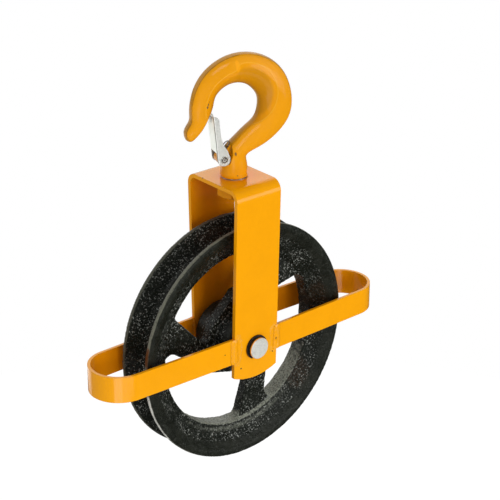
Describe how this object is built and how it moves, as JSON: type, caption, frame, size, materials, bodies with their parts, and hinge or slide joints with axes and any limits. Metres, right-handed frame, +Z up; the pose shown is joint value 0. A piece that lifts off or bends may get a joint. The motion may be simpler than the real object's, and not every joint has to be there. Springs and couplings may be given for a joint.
{
  "type": "gin wheel",
  "caption": "Rope wheel between two flat bar legs with rope guards each side, hung from a swivel safety hook with a sprung latch.",
  "frame": {"origin": "centre of the wheel on its axle", "axes": "+X along the rope guards, +Y along the axle to the back, +Z up to the hook"},
  "size_m": [0.3488, 0.08, 0.4204],
  "materials": {
    "hook_paint": "gloss orange paint on forged steel",
    "frame_paint": "gloss orange paint on flat steel bar",
    "nut_paint": "orange paint on a steel nut",
    "axle_paint": "bare turned end face, orange paint on its side",
    "cast_iron": "black paint on rough cast iron",
    "black_steel": "blackened spring steel",
    "zinc": "zinc plated sheet",
    "rivet_steel": "zinc plated rivet",
    "spring_steel": "drawn spring wire",
    "steel": "plain machined steel",
    "bronze": "sintered bronze bush"
  },
  "bodies": {
    "hook": {"hook": "hook_paint", "hook_nut": "nut_paint", "nut_lock_pin": "steel", "latch_rivet": "rivet_steel", "latch_spring": "spring_steel"},
    "latch": {"hook_latch": "zinc"},
    "frame": {"yoke": "frame_paint", "guard_left": "frame_paint", "guard_right": "frame_paint", "weld_front_left": "frame_paint", "weld_front_right": "frame_paint", "weld_rear_left": "frame_paint", "weld_rear_right": "frame_paint", "axle": "axle_paint", "axle_ring_front": "black_steel", "axle_ring_rear": "black_steel", "thrust_washer_front": "steel", "thrust_washer_rear": "steel", "swivel_washer": "steel", "nut_washer": "steel"},
    "wheel": {"sheave": "cast_iron", "hub_bush": "bronze"}
  },
  "joints": [
    {"name": "hook_swivel", "type": "hinge", "parent": "hook", "child": "frame", "pos_m": [0, 0, 0.172], "axis": [0, 0, 1], "continuous": true},
    {"name": "wheel_spin", "type": "hinge", "parent": "frame", "child": "wheel", "pos_m": [0, 0, 0], "axis": [0, 1, 0], "continuous": true},
    {"name": "latch_hinge", "type": "hinge", "parent": "hook", "child": "latch", "pos_m": [-0.01274, 0.00414, 0.1932], "axis": [0.309, 0.9511, 0], "range_deg": [0, 35], "stiffness_Nm_per_rad": 0.05, "springref_deg": -34.38}
  ]
}
